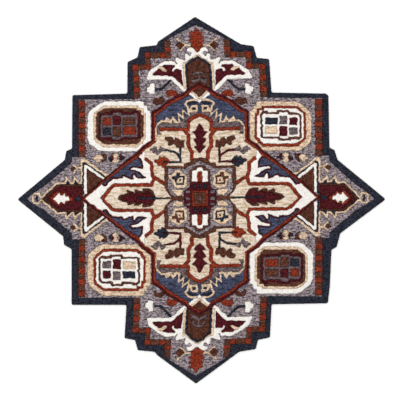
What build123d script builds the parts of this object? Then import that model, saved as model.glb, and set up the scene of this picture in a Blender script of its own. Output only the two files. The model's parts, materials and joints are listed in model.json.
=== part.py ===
from build123d import *
import os
from math import hypot

# A star-shaped hand-tufted wool area rug, lying flat.
# +Z is up and the underside rests on Z = 0. +Y runs towards the top arm.
# All sizes are millimetres.

# Layers from the floor up
BACKING_THICKNESS = 1.0         # secondary backing cloth, with the binding tape round it
LATEX_THICKNESS = 1.4           # latex coat that locks the tufts
CANVAS_THICKNESS = 0.8          # primary canvas that the yarn is tufted through
PILE_HEIGHT = 10.0              # cut wool pile above the canvas

# Each layer stops a little short of the pile's edge
CANVAS_INSET = 1.0
LATEX_INSET = 2.0
TAPE_INSET = 3.0
TAPE_WIDTH = 36.0

# Drawing of the pattern
LINE = 10.5                     # a thin outline, two to three rows of tufts
BOLD_LINE = 17.0                # the rust outlines of the medallion
MITRE_LIMIT = 2.2
CORNER_RADIUS = 8.0             # the rug's own corners are softly rounded
SMALLEST_PATCH = 12.0           # square millimetres, less than one tuft
SEAM_OVERLAP = 1.5              # how far the quarters reach over the rug's two axes

FLOOR = 0.0
LATEX_BOTTOM = FLOOR + BACKING_THICKNESS
CANVAS_BOTTOM = LATEX_BOTTOM + LATEX_THICKNESS
PILE_BOTTOM = CANVAS_BOTTOM + CANVAS_THICKNESS

# The four quarters: name, direction of x, direction of y, colour scheme
QUARTERS = [("top_left", -1, 1, 0), ("top_right", 1, 1, 1), ("bottom_left", -1, -1, 1), ("bottom_right", 1, -1, 0)]

TOP_QUARTERS = QUARTERS[:2]
BOTTOM_QUARTERS = QUARTERS[2:]

# The rug's edge, clockwise from the top point
EDGE = [(-25, 912), (205, 775), (268, 766), (284, 707), (346, 701), (358, 533), (630, 528), (643, 517),
        (648, 257), (673, 246), (688, 197), (930, -1),
        (702, -172), (684, -240), (658, -254), (650, -432), (640, -522), (358, -527), (350, -693), (290, -705),
        (279, -751), (196, -765), (-20, -924),
        (-214, -782), (-227, -765), (-312, -757), (-325, -706), (-378, -697), (-368, -530), (-643, -530),
        (-643, -250), (-681, -229), (-685, -187), (-914, -2),
        (-677, 196), (-670, 240), (-641, 252), (-639, 520), (-364, 528), (-363, 686), (-313, 709),
        (-302, 761), (-217, 770), (-210, 788)]

# Slow drift of the hand-drawn pattern: distance along an arm, and the shift there
ARM_STEPS = [0, 160, 420, 575, 640, 720, 800, 910]
LEAN_OF_UPRIGHT_ARMS = [0, -1, -2, -3, -9, -13, -18, -25]
LEFT_ARM_STEPS = [0, 150, 500, 570, 930]
LIFT_OF_LEFT_ARM = [0, 3, 3, 0, 0]
RIGHT_ARM_STEPS = [0, 150, 400, 575, 640, 740, 850, 930]
LIFT_OF_RIGHT_ARM = [0, 7, 11, 8, 7, 4, 3, -3]
# Distances drawn, and the distances tufted, where a quarter came out longer or shorter
DRAWN_RIGHT = [0, 100, 400, 500, 575, 600, 700, 830, 930]
TUFTED_RIGHT = [0, 102, 410, 512, 580, 608, 710, 834, 946]
DRAWN_DOWN = [0, 45, 160, 420, 480, 581, 715, 760, 860, 912]
TUFTED_DOWN = [0, 38, 151, 413, 477, 583, 720, 760, 874, 926]

# Motifs that one quarter holds a little out of place: quarter, then outwards and lengthways shift
PANEL_SHIFT = {"top_right": (0, -4), "bottom_left": (0, 4)}
PANEL_SIDES = [245, 561]
PANEL_ENDS = [235, 486]
NARROWED_PANEL = [0, -9]        # the top right panel's inner and outer side
LOWERED_PANEL = [1, -3]         # the top right panel's lower and upper end
CLOVER_SHIFT = {"top_right": (0, -4), "bottom_left": (8, -9)}
NAVY_HOOK_SHIFT = {"top_right": (0, -4), "bottom_left": (2, -5)}
RUST_HOOK_SHIFT = {"top_right": (0, -4), "bottom_left": (0, -6)}
BROWN_HOOK_SHIFT = {"top_right": (0, -4)}
GREY_LEAF_SHIFT = {"bottom_left": (-5, 6)}

PAINTED = []                    # (pile name, outline in rug coordinates), lowest first


def between(value, steps, shifts):
    """Straight-line interpolation in a short list of steps, held at its ends."""
    if value <= steps[0]:
        return shifts[0]
    for start, end, low, high in zip(steps, steps[1:], shifts, shifts[1:]):
        if value <= end:
            return low + (high - low) * (value - start) / (end - start)
    return shifts[-1] + value - steps[-1]


def settle(point, x_sign, y_sign):
    """Carry a point drawn in the model quarter to its place in one quarter of the rug."""
    across, along = point
    wide = between(across, DRAWN_RIGHT, TUFTED_RIGHT) if x_sign > 0 else across
    tall = between(along, DRAWN_DOWN, TUFTED_DOWN) if y_sign < 0 else along
    if x_sign > 0:
        lift = between(across, RIGHT_ARM_STEPS, LIFT_OF_RIGHT_ARM)
    else:
        lift = between(across, LEFT_ARM_STEPS, LIFT_OF_LEFT_ARM)
    lean = between(min(along, ARM_STEPS[-1]), ARM_STEPS, LEAN_OF_UPRIGHT_ARMS)
    if across == 0:
        wide = -SEAM_OVERLAP
    if along == 0:
        tall = -SEAM_OVERLAP
    return (x_sign * wide + lean, y_sign * tall + lift)


def paint(pile, outline, quarters=QUARTERS, shifts=None):
    """Lay one colour area over what is already there, in each quarter named."""
    for name, x_sign, y_sign, _ in quarters:
        out, up = (shifts or {}).get(name, (0, 0))
        PAINTED.append((pile, [settle((x + out, y + up) if out or up else (x, y), x_sign, y_sign)
                               for x, y in outline]))


def paint_by_scheme(piles, outline, shifts=None):
    """Lay one area whose colour changes with the quarter's scheme."""
    for scheme, pile in enumerate(piles):
        paint(pile, outline, [quarter for quarter in QUARTERS if quarter[3] == scheme], shifts)


def paint_panel(piles, outline):
    """Lay one ring or cell of the corner panels. The top right panel is narrower and lower than the others."""
    left_and_lower = [quarter for quarter in QUARTERS if quarter[0] != "top_right"]
    for scheme, pile in enumerate(piles):
        paint(pile, outline, [quarter for quarter in left_and_lower if quarter[3] == scheme], PANEL_SHIFT)
    drawn_in = [(x + between(x, PANEL_SIDES, NARROWED_PANEL), y + between(y, PANEL_ENDS, LOWERED_PANEL))
                for x, y in outline]
    paint(piles[1], drawn_in, [QUARTERS[1]], PANEL_SHIFT)


def block(left, bottom, right, top):
    """Outline of a rectangle."""
    return [(left, bottom), (right, bottom), (right, top), (left, top)]


def diamond(x, y, half_width, half_height):
    """Outline of a diamond."""
    return [(x - half_width, y), (x, y - half_height), (x + half_width, y), (x, y + half_height)]


def side_points(points, reach):
    """A polyline's points moved sideways by reach, with mitred corners."""
    moved = []
    for index, (x, y) in enumerate(points):
        before = points[max(index - 1, 0)]
        after = points[min(index + 1, len(points) - 1)]
        normals = []
        for start, end in ((before, (x, y)), ((x, y), after)):
            length = hypot(end[0] - start[0], end[1] - start[1])
            if length > 0:
                normals.append(((start[1] - end[1]) / length, (end[0] - start[0]) / length))
        across = sum(normal[0] for normal in normals) / len(normals)
        along = sum(normal[1] for normal in normals) / len(normals)
        stretch = min(1 / (across ** 2 + along ** 2), MITRE_LIMIT ** 2)
        moved.append((x + across * stretch * reach, y + along * stretch * reach))
    return moved


def band(points, width):
    """Outline of a line of even width along a polyline."""
    return side_points(points, width / 2) + side_points(points, -width / 2)[::-1]


def bend(start, pull, end, steps=4):
    """Points of a round stretch: a parabola from start to end, drawn towards pull."""
    curve = []
    for step in range(steps + 1):
        share = step / steps
        rest = 1 - share
        curve.append(tuple(rest * rest * a + 2 * rest * share * b + share * share * c
                           for a, b, c in zip(start, pull, end)))
    return curve


# ---------------------------------------------------------------- outer pattern

def field():
    """Heather-grey ground inside the navy border."""
    paint("field_heather", [(0, 872), (98, 822), (133, 803), (160, 783), (161, 728), (262, 728), (262, 668),
                            (325, 668), (328, 498), (604, 498), (604, 212), (640, 211), (641, 184), (672, 155),
                            (722, 112), (772, 70), (842, 24), (866, 0), (0, 0)])


def check_strips():
    """Brown strips chequered with rust blocks, stepped beside the upright arms and straight at the sides."""
    paint("check_brown", [(132, 797), (162, 784), (163, 730), (264, 730), (264, 670), (327, 670), (330, 500),
                          (298, 500), (297, 643), (237, 643), (237, 702), (133, 702)])
    paint("check_rust", block(132, 733, 163, 756))
    paint("check_rust", block(161, 702, 187, 730))
    paint("check_rust", block(235, 702, 264, 730))
    paint("check_rust", block(236, 644, 264, 672))
    for top in (667, 612, 556):
        paint("check_rust", block(297, top - 27, 329, top))
    paint("check_brown", block(573, 209, 606, 493))
    for top in (490, 435, 380, 324, 267):
        paint("check_rust", block(573, top - 27, 606, top))


def hook_and_clover():
    """Loose motifs in the heather ground beside each upright arm."""
    paint("arm_navy_lines", band([(138, 597), (178, 556), (196, 545), (225, 545)], 11),
          shifts=NAVY_HOOK_SHIFT)
    paint("arm_white", [(222, 574), (245, 574), (249, 560), (263, 554), (262, 534), (252, 531), (250, 519),
                        (222, 525), (226, 548)], shifts=CLOVER_SHIFT)
    paint("field_rust_hooks", bend((101, 517), (120, 548), (148, 543)) + bend((161, 538), (172, 512), (153, 507))
          + bend((146, 516), (138, 520), (126, 509), 2), shifts=RUST_HOOK_SHIFT)
    paint("field_brown_hooks", bend((172, 487), (180, 510), (199, 507), 3) + [(206, 499)]
          + bend((218, 505), (232, 504), (234, 476), 3) + [(212, 468), (188, 472)],
          TOP_QUARTERS, BROWN_HOOK_SHIFT)
    paint("field_brown_hooks", [(169, 479), (184, 493), (198, 498), (219, 495), (228, 483), (228, 465), (217, 463),
                                (213, 476), (201, 479), (189, 469), (180, 470)], BOTTOM_QUARTERS)


# ---------------------------------------------------------------- corner panels

PANEL_EDGE = [(475, 486), (505, 471), (549, 441), (561, 415), (561, 292), (552, 276), (505, 240), (488, 235),
              (316, 235), (292, 250), (245, 290), (245, 437), (262, 443), (262, 461), (278, 464), (278, 486)]
PANEL_RING_OUTER = [(480, 463), (526, 430), (530, 412), (530, 302), (520, 286), (490, 262), (478, 256), (312, 256),
                    (300, 267), (286, 273), (283, 287), (270, 300), (270, 426), (281, 428), (281, 451),
                    (304, 451), (304, 463)]
PANEL_RING_INNER = [(477, 451), (513, 427), (518, 410), (518, 306), (510, 294), (486, 277), (474, 271), (317, 271),
                    (308, 280), (297, 283), (294, 298), (281, 308), (281, 414), (292, 416), (292, 440),
                    (316, 440), (316, 451)]
PANEL_JOG_OUTER = [(312, 438), (335, 438), (337, 430), (380, 430), (382, 440), (441, 440), (446, 430), (490, 428),
                   (504, 412), (506, 302), (492, 292), (452, 293), (449, 286), (388, 286), (384, 296), (338, 297),
                   (300, 300), (298, 355), (305, 364), (298, 374), (298, 425)]
PANEL_JOG_INNER = [(315, 426), (325, 426), (327, 420), (390, 420), (392, 430), (432, 430), (437, 419), (488, 418),
                   (495, 405), (496, 306), (441, 305), (438, 295), (397, 295), (394, 306), (312, 306),
                   (308, 354), (314, 364), (308, 374), (308, 418)]
PANEL_CELLS = [(block(322, 369, 384, 403), ("cell_brown", "cell_navy")),
               (block(395, 368, 433, 411), ("cell_maroon", "cell_grey")),
               (block(444, 366, 484, 403), ("cell_rust", "cell_maroon")),
               (block(321, 319, 382, 357), ("cell_rust", "panel_tan")),
               (block(394, 309, 433, 358), ("cell_brown", "cell_maroon")),
               (block(443, 317, 485, 353), ("cell_navy", "cell_grey"))]


def corner_panels():
    """Eight-sided panels of nested rings round six coloured cells, in two colour schemes."""
    paint_panel(("panel_white", "panel_tan"), PANEL_EDGE)
    paint_panel(("panel_tan", "panel_rust_ring"), PANEL_RING_OUTER)
    paint_panel(("panel_brown", "panel_white"), PANEL_RING_INNER)
    paint_panel(("panel_maroon", "panel_brown"), PANEL_JOG_OUTER)
    paint_panel(("panel_grey_grid", "panel_white"), PANEL_JOG_INNER)
    for outline, piles in PANEL_CELLS:
        paint_panel(piles, outline)


def motif_row():
    """Hourglass, chevrons and flower between each panel and the side arm."""
    paint("field_tan_motifs", [(480, 206), (493, 219), (520, 219), (523, 209), (534, 203), (530, 194), (519, 189),
                               (517, 180), (500, 180), (496, 189)], shifts=PANEL_SHIFT)
    paint("field_brown_hooks", [(463, 216), (470, 223), (482, 221), (481, 208), (481, 195), (492, 184), (488, 178),
                                (477, 187), (466, 200)], shifts=PANEL_SHIFT)
    paint("small_motifs_maroon", [(482, 221), (497, 219), (487, 210), (481, 205)], shifts=PANEL_SHIFT)
    paint("small_motifs_maroon", [(427, 209), (433, 218), (443, 219), (439, 208), (441, 197), (448, 189),
                                    (442, 184), (434, 188), (427, 199)], shifts=PANEL_SHIFT)
    paint("small_motifs_navy", [(439, 210), (457, 205), (458, 194), (449, 189), (441, 197)], shifts=PANEL_SHIFT)
    paint("field_tan_motifs", [(405, 216), (413, 222), (420, 229), (428, 222), (437, 216), (429, 205), (430, 197),
                               (437, 187), (429, 177), (421, 173), (412, 178), (405, 188), (413, 198), (414, 206)],
          shifts=PANEL_SHIFT)
    paint("small_motifs_maroon", [(389, 219), (400, 221), (405, 213), (400, 204), (404, 192), (396, 187),
                                    (389, 192)], shifts=PANEL_SHIFT)
    paint("small_motifs_navy", [(373, 204), (380, 211), (392, 209), (392, 197), (381, 196)], shifts=PANEL_SHIFT)


# ---------------------------------------------------------------- side arms

def side_triangles():
    """Brown triangle at the root of each side arm, outlined in white, navy and tan."""
    paint("side_tan", [(450, 123), (475, 127), (578, 206), (597, 199), (597, 55), (530, 55)])
    paint("side_navy", [(468, 107), (577, 185), (587, 181), (587, 20), (500, 60)])
    paint("side_white", [(476, 102), (567, 172), (579, 171), (580, 22), (560, 30)])
    paint("side_brown", [(482, 92), (565, 153), (566, 24), (500, 60)])


def side_arm_field():
    """Hooked square and zigzag line on the heather ground of each side arm."""
    paint("side_tan", band([(596, 155), (611, 156), (634, 173)], LINE))
    paint("side_tan", band([(609, 158), (633, 127)], LINE))
    paint("side_brown", [(622, 152), (627, 163), (640, 160), (648, 153), (641, 140), (630, 141)])
    zigzag = [(590, 80), (604, 81), (627, 105), (632, 80), (646, 81), (668, 107), (673, 79), (716, 79),
              (734, 62), (768, 33), (786, 11), (797, 6), (806, 28), (828, 25), (835, 14), (835, 0)]
    paint("side_navy", zigzag[:11] + [(790, 0), (587, 0)])
    paint("side_tan", band(zigzag, LINE))
    paint("side_navy", [(811, 0), (811, 17), (819, 17), (821, 0)])
    paint("side_brown", [(587, 72), (668, 72), (715, 68), (743, 44), (778, 4), (780, 0), (587, 0)])
    paint("side_maroon", [(594, 62), (700, 62), (728, 46), (768, 3), (770, 0), (594, 0)])


def side_leaf():
    """White jagged leaf edged in rust, pointing out along each side arm."""
    paint("side_rust", [(632, 0), (638, 7), (652, 14), (657, 24), (664, 21), (675, 38), (688, 28), (698, 30),
                        (706, 44), (722, 33), (733, 21), (747, 6), (748, 0)])
    paint("side_white", [(653, 0), (655, 11), (672, 12), (678, 30), (690, 16), (698, 16), (704, 33), (717, 17),
                         (735, 2), (735, 0)])
    paint("side_navy", [(597, 0), (602, 14), (622, 8), (632, 0)])


# ---------------------------------------------------------------- upright arms

def arm_diamond():
    """Tall brown shield with a navy outline and a grey scroll."""
    paint("arm_tan", [(0, 728), (76, 672), (78, 530), (56, 530), (0, 560)])
    paint("arm_navy_lines", [(0, 718), (30, 700), (66, 672), (66, 540), (40, 550), (0, 560)])
    paint("arm_brown", [(0, 705), (28, 688), (54, 664), (54, 540), (0, 560)])
    paint("arm_grey_scroll", bend((0, 638), (30, 640), (34, 609), 4) + [(24, 607)]
          + bend((22, 614), (18, 627), (5, 627), 3) + [(4, 604), (18, 600), (30, 596), (42, 602), (40, 590)]
          + [(33, 576), (16, 584), (0, 592)])


def arm_wings():
    """White-outlined maroon wing each side of the shield."""
    paint("arm_white", [(62, 690), (106, 672), (113, 686), (163, 688), (190, 676), (226, 652), (249, 634),
                        (260, 605), (260, 594), (141, 594), (90, 545), (75, 533), (66, 545), (66, 680)])
    paint("arm_tan", block(64, 548, 76, 676))
    paint("wing_maroon", [(80, 562), (85, 644), (112, 649), (117, 668), (171, 668), (182, 656), (197, 648),
                          (214, 636), (231, 618), (222, 614), (137, 613), (122, 602)])
    paint("arm_white", band([(98, 653), (115, 653), (125, 646), (127, 635)], 10))
    paint("arm_tan", [(200, 655), (184, 660), (172, 655), (160, 645), (155, 638), (166, 633), (177, 638),
                      (190, 646), (203, 648)])


def arm_scrolls():
    """White scrolls between the shield's point and the leaf above it."""
    paint("arm_white", [(0, 718), (0, 732), (12, 744), (20, 757), (43, 758), (54, 746), (52, 736), (38, 738),
                        (27, 730), (38, 713), (49, 727), (58, 727), (64, 718), (63, 692), (82, 698), (106, 706),
                        (112, 699), (106, 683), (98, 672), (70, 668), (62, 680), (30, 704)])
    paint("arm_tan", [(0, 716), (5, 722), (34, 700), (62, 682), (76, 684), (76, 668), (66, 668), (30, 700)])


def arm_crown():
    """Rust leaf at the arm's point, with small hooked diamonds beside it."""
    paint("arm_tan", band([(30, 768), (58, 770), (100, 801)], 10))
    paint("arm_tan", band([(52, 770), (62, 765), (88, 738)], 10))
    paint("field_brown_hooks", diamond(84, 768, 24, 22))
    paint("crown_leaf_rust", [(0, 860), (8, 848), (14, 836), (36, 834), (30, 824), (24, 820), (40, 809), (24, 800),
                              (42, 790), (26, 782), (34, 762), (14, 750), (0, 736)])


# ---------------------------------------------------------------- star frame

FRAME_EDGE = [(0, 582), (60, 546), (80, 531), (165, 488), (192, 461), (240, 432), (241, 292), (288, 262),
              (308, 236), (362, 195), (468, 109), (572, 22), (600, 0), (0, 0)]
FRAME_MIDDLE = [(0, 571), (57, 535), (76, 520), (160, 477), (188, 450), (231, 424), (231, 287), (281, 250),
                (302, 224), (364, 183), (433, 129), (490, 82), (555, 28), (590, 0), (0, 0)]
FRAME_INSIDE = [(0, 559), (50, 526), (70, 509), (152, 467), (178, 443), (219, 416), (219, 280), (252, 257),
                (275, 243), (290, 226), (308, 203), (362, 170), (443, 108), (486, 74), (514, 45), (550, 18),
                (577, 0), (0, 0)]
# Upper edge of the white band, from the horn by the frame along two tongues to the side point
FLAME_EDGE = [(274, 244), (306, 206), (294, 196), (286, 184), (283, 146), (296, 148), (314, 153), (334, 153),
              (345, 149), (343, 143), (322, 141), (303, 133), (284, 116), (264, 103), (310, 97), (319, 105),
              (327, 118), (332, 115), (333, 93), (351, 97), (382, 111), (389, 99), (434, 98), (453, 81),
              (468, 61), (482, 63), (491, 71)]


def star_frame():
    """Maroon and rust lines of the big star, and the slate ground inside it."""
    paint("frame_maroon", FRAME_EDGE)
    paint("frame_rust", FRAME_MIDDLE)
    paint("star_slate", FRAME_INSIDE)


def star_tips():
    """Brown diamond and white chevron just inside the star's upper and lower points."""
    paint("arm_brown", [(0, 561), (39, 537), (0, 503)])
    paint("star_white", [(0, 506), (38, 541), (54, 525), (0, 479)])
    paint("star_tan", [(0, 508), (34, 539), (40, 540), (43, 535), (0, 495)])


def star_zigzag():
    """Tan eye and running zigzag over a heather ground."""
    paint("star_heather", [(0, 430), (45, 434), (56, 412), (78, 410), (98, 378), (190, 382), (216, 362),
                           (214, 318), (190, 318), (190, 345), (0, 345)])
    paint("star_tan", band(bend((8, 493), (58, 504), (71, 474)) + [(60, 461), (58, 440)], LINE))
    paint("star_tan", [(6, 466), (14, 474), (42, 466), (56, 444), (52, 434), (10, 434)])
    paint("small_motifs_navy", [(18, 457), (36, 459), (38, 447), (17, 447)])
    paint("small_motifs_navy", [(14, 485), (46, 488), (58, 478), (48, 470), (40, 477), (16, 479)])
    paint("star_tan", band([(57, 444), (53, 418), (86, 446), (81, 405), (106, 423), (100, 381), (114, 380),
                            (132, 404), (141, 383), (165, 401), (172, 386), (190, 387), (208, 372), (217, 352),
                            (217, 288)], LINE))
    paint("star_tan", [(112, 378), (130, 408), (138, 404), (150, 386), (164, 404), (174, 384), (150, 376)])
    paint("star_slate", [(128, 382), (134, 390), (140, 378)])


def star_flames():
    """White band with flame tongues, edged in maroon on the slate ground."""
    paint("flame_maroon", band(FLAME_EDGE[1:], 15))
    paint("star_white", FLAME_EDGE + [(572, 4), (577, 0), (503, 0), (446, 66), (424, 73), (252, 74), (236, 92),
                                      (248, 130), (250, 176), (273, 198), (274, 220)])


# ---------------------------------------------------------------- medallion

def medallion_ground():
    """Cream ground of the cross-shaped medallion."""
    paint("cream_ground", [(0, 421), (29, 407), (50, 394), (58, 378), (58, 345), (200, 345), (200, 334),
                           (213, 318), (216, 288), (219, 281), (252, 257), (276, 243), (275, 200), (240, 172),
                           (240, 136), (232, 100), (242, 67), (424, 67), (442, 58), (492, 0), (0, 0)])


def medallion_outline():
    """Rust outlines that part the cream ground into four petals and four corner fields."""
    paint("medallion_rust", band([(0, 421), (29, 407), (50, 394), (57, 378), (57, 346), (200, 346)], BOLD_LINE))
    paint("medallion_rust", band([(78, 344), (55, 318), (57, 262), (40, 236), (39, 196)], BOLD_LINE + 1))
    paint("medallion_rust", band([(274, 200), (241, 173), (241, 136), (232, 104), (208, 94), (176, 70)],
                                 BOLD_LINE))
    paint("medallion_rust", band([(228, 104), (242, 67), (424, 67), (442, 58), (490, -4)], BOLD_LINE))
    paint("star_heather", [(200, 366), (214, 360), (213, 318), (190, 318), (200, 332)])


def palmettes():
    """Toothed leaves along the petals."""
    paint("palmette_maroon", [(0, 379), (7, 374), (14, 357), (24, 341), (40, 333), (27, 322), (14, 307), (31, 299),
                              (31, 292), (18, 276), (13, 268), (30, 262), (20, 250), (10, 240), (0, 224)])
    paint("palmette_brown", [(218, 0), (225, 16), (233, 32), (243, 43), (254, 49), (268, 51), (286, 50), (289, 44),
                             (284, 32), (298, 37), (310, 44), (327, 45), (331, 40), (326, 27), (345, 36), (361, 44),
                             (366, 40), (364, 24), (378, 20), (398, 16), (410, 6), (413, 0)])
    paint("palmette_maroon", [(226, 0), (236, 20), (250, 34), (272, 38), (278, 26), (300, 27), (318, 32), (322, 18),
                              (340, 22), (354, 30), (358, 15), (384, 11), (398, 0)])
    paint("small_motifs_navy", [(150, 0), (150, 5), (300, 5), (318, 0)])


def leaf_sprigs():
    """Three-leaved sprig in each corner field."""
    stems = ("small_motifs_navy", "small_motifs_maroon")
    paint_by_scheme(stems, band([(97, 262), (97, 182), (176, 182)], LINE))
    paint_by_scheme(stems, band(bend((98, 207), (118, 242), (182, 241)), LINE))
    paint("sprig_brown", [(77, 257), (77, 291), (87, 293), (99, 287), (103, 299), (120, 307), (124, 300),
                          (129, 291), (135, 303), (149, 310), (171, 309), (176, 295), (166, 287), (156, 281),
                          (160, 268), (151, 263), (140, 267), (130, 273), (125, 268), (118, 257)])
    paint("sprig_grey", [(174, 247), (188, 258), (198, 260), (202, 245), (209, 240), (214, 248), (219, 258),
                         (230, 259), (236, 250), (250, 247), (247, 240), (234, 236), (236, 228), (222, 225),
                         (214, 216), (208, 218), (200, 227), (188, 236), (174, 237)], shifts=GREY_LEAF_SHIFT)
    paint_by_scheme(("sprig_rust", "small_motifs_navy"),
                    [(150, 183), (157, 194), (166, 203), (176, 208), (184, 213), (187, 204), (192, 205), (198, 213),
                     (204, 206), (206, 197), (228, 192), (231, 186), (224, 180), (213, 176), (209, 162), (194, 163),
                     (188, 152), (178, 157), (166, 167), (155, 176)])
    paint_by_scheme(stems, [(158, 179), (160, 187), (178, 187), (188, 183), (178, 179)])


# ---------------------------------------------------------------- centre

def centre_frame():
    """Brown frame and heather ground round the centre block."""
    paint("centre_brown", [(0, 206), (28, 204), (40, 196), (50, 182), (80, 176), (80, 162), (176, 162), (178, 62),
                           (172, 42),
                           (152, 18), (140, 0), (0, 0)])
    paint("centre_heather", [(0, 190), (14, 187), (24, 178), (42, 169), (58, 162), (66, 151), (160, 151), (162, 46),
                             (148, 24), (130, 10), (80, 8), (80, 0), (0, 0)])
    paint("centre_brown", [(0, 169), (15, 168), (25, 160), (29, 151), (42, 150), (51, 142), (51, 82), (0, 82)])
    paint("centre_white", [(0, 157), (13, 156), (17, 143), (39, 140), (41, 80), (0, 80)])
    paint("centre_rust", [(0, 78), (12, 78), (12, 134), (7, 139), (0, 140)])


def centre_block():
    """Maroon block with a rust square, dark spots and grey bars."""
    paint("centre_tan", [(86, 44), (140, 46), (134, 32), (118, 14), (100, 12), (86, 26)])
    paint("centre_brown", [(86, 0), (88, 14), (106, 16), (112, 5), (160, 4), (160, 0)])
    paint("centre_maroon", [(0, 87), (44, 85), (52, 75), (52, 57), (74, 44), (81, 37), (81, 0), (0, 0)])
    paint("small_motifs_navy", block(18, 53, 33, 74))
    paint("small_motifs_navy", block(0, 53, 5, 74))
    paint("centre_grey", block(50, 26, 74, 42))
    paint("centre_grey", block(50, 0, 72, 9))
    paint("centre_rust", block(0, 0, 39, 43))
    paint("centre_brown", block(0, 0, 29, 32))
    paint("centre_grey", block(0, 0, 7, 12))


def small_flowers():
    """Square flower with two arms in each corner of the centre frame."""
    ring = ("small_motifs_navy", "centre_brown")
    paint("centre_tan", [(89, 134), (100, 142), (121, 141), (129, 131), (143, 121), (156, 117), (156, 98), (143, 91),
                         (134, 79), (130, 60), (114, 52), (81, 52), (64, 66), (64, 117), (79, 124)])
    paint_by_scheme(ring, [(75, 114), (100, 114), (101, 129), (116, 129), (117, 113), (123, 110), (141, 109),
                           (141, 96), (124, 95), (121, 69), (80, 69)])
    paint("centre_tan", [(84, 106), (110, 105), (118, 80), (116, 76), (86, 76)])
    paint_by_scheme(ring, block(96, 87, 103, 98))


def draw_pattern():
    """Every colour area, from the ground up."""
    field()
    check_strips()
    hook_and_clover()
    corner_panels()
    motif_row()
    side_triangles()
    side_arm_field()
    side_leaf()
    arm_diamond()
    arm_wings()
    arm_scrolls()
    arm_crown()
    star_frame()
    star_tips()
    star_zigzag()
    star_flames()
    medallion_ground()
    medallion_outline()
    palmettes()
    leaf_sprigs()
    centre_frame()
    centre_block()
    small_flowers()


# ---------------------------------------------------------------- solids

def flat_face(outline):
    """Upward-facing flat face inside a closed outline."""
    face = Face(Wire.make_polygon([(x, y, 0) for x, y in outline], close=True))
    if face.normal_at().Z < 0:
        face = Face(Wire.make_polygon([(x, y, 0) for x, y in outline[::-1]], close=True))
    return face


def rug_face():
    """The rug's whole outline with softly rounded corners."""
    face = flat_face(EDGE)
    return face.fillet_2d(CORNER_RADIUS, face.vertices())


def apart(box, other):
    """True where two boxes don't overlap in plan."""
    return (other.min.X > box.max.X or other.max.X < box.min.X
            or other.min.Y > box.max.Y or other.max.Y < box.min.Y)


def visible_areas():
    """The visible part of each painted outline, so that every spot of canvas holds one colour."""
    layers = [("border_navy", rug_face())]
    layers += [(pile, flat_face(outline)) for pile, outline in PAINTED]
    boxes = [face.bounding_box() for _, face in layers]
    areas = {}
    for index, (pile, face) in enumerate(layers):
        cutters = []
        for later in range(index + 1, len(layers)):
            if layers[later][0] != pile and not apart(boxes[index], boxes[later]):
                cutters.append(layers[later][1])
        seen = face.cut(*cutters) if cutters else face
        areas.setdefault(pile, []).extend(seen.faces())
    return areas


def joined(faces):
    """Areas of one colour that touch, made into one area each, without specks."""
    merged = faces[0].fuse(*faces[1:]).clean() if len(faces) > 1 else faces[0]
    return [face for face in merged.faces() if face.area > SMALLEST_PATCH]


def slab(face, bottom, height):
    """A face raised to its place and thickened upwards."""
    return extrude(face.moved(Location((0, 0, bottom))), height, dir=(0, 0, 1))


def inset_face(inset):
    """The rug's rounded outline drawn in on all sides."""
    return offset(rug_face(), -inset, kind=Kind.ARC).face()


def save(name, solids):
    """Write one node to its own file."""
    export_step(Compound(children=list(solids)), os.path.join("parts", name + ".step"))


def base_layers():
    """Canvas, latex, backing cloth and binding tape under the pile."""
    tape_inside = offset(flat_face(EDGE), -TAPE_INSET - TAPE_WIDTH, kind=Kind.INTERSECTION).face()
    tape = inset_face(TAPE_INSET).cut(tape_inside).face()
    return {"canvas": slab(inset_face(CANVAS_INSET), CANVAS_BOTTOM, CANVAS_THICKNESS),
            "latex_coat": slab(inset_face(LATEX_INSET), LATEX_BOTTOM, LATEX_THICKNESS),
            "backing_cloth": slab(tape_inside, FLOOR, BACKING_THICKNESS),
            "binding_tape": slab(tape, FLOOR, BACKING_THICKNESS)}


def build():
    """Make every node and write it to its file."""
    os.makedirs("parts", exist_ok=True)
    draw_pattern()
    for name, layer in base_layers().items():
        save(name, layer.solids())
    for pile, faces in visible_areas().items():
        solids = [slab(face, PILE_BOTTOM, PILE_HEIGHT).solid() for face in joined(faces)]
        save("pile_" + pile, solids)


build()
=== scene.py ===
import json
from functools import lru_cache

import bpy
import numpy as np
from bpy.props import FloatProperty, FloatVectorProperty, PointerProperty
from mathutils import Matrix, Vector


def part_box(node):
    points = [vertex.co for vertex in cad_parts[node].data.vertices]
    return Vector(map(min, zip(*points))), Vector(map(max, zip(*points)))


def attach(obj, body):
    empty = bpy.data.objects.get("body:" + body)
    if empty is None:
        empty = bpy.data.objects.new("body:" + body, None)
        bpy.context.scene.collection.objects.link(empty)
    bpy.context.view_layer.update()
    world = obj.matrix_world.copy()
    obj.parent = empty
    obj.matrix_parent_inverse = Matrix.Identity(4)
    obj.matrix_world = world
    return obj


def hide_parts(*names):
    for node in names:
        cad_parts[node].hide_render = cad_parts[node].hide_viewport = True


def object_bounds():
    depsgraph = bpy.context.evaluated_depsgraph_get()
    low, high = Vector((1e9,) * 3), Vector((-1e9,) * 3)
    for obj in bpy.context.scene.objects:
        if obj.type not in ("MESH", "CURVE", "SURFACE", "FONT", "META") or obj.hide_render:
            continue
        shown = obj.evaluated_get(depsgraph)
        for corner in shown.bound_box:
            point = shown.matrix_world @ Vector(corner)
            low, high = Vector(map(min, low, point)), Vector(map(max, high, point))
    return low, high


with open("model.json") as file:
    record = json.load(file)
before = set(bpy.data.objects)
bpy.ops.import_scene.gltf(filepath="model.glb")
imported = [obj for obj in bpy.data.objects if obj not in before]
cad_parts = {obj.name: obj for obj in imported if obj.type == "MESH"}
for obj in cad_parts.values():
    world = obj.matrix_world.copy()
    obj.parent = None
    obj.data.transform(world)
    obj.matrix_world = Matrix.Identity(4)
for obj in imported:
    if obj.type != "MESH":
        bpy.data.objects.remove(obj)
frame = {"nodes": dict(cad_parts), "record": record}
CAD_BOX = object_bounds()

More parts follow.
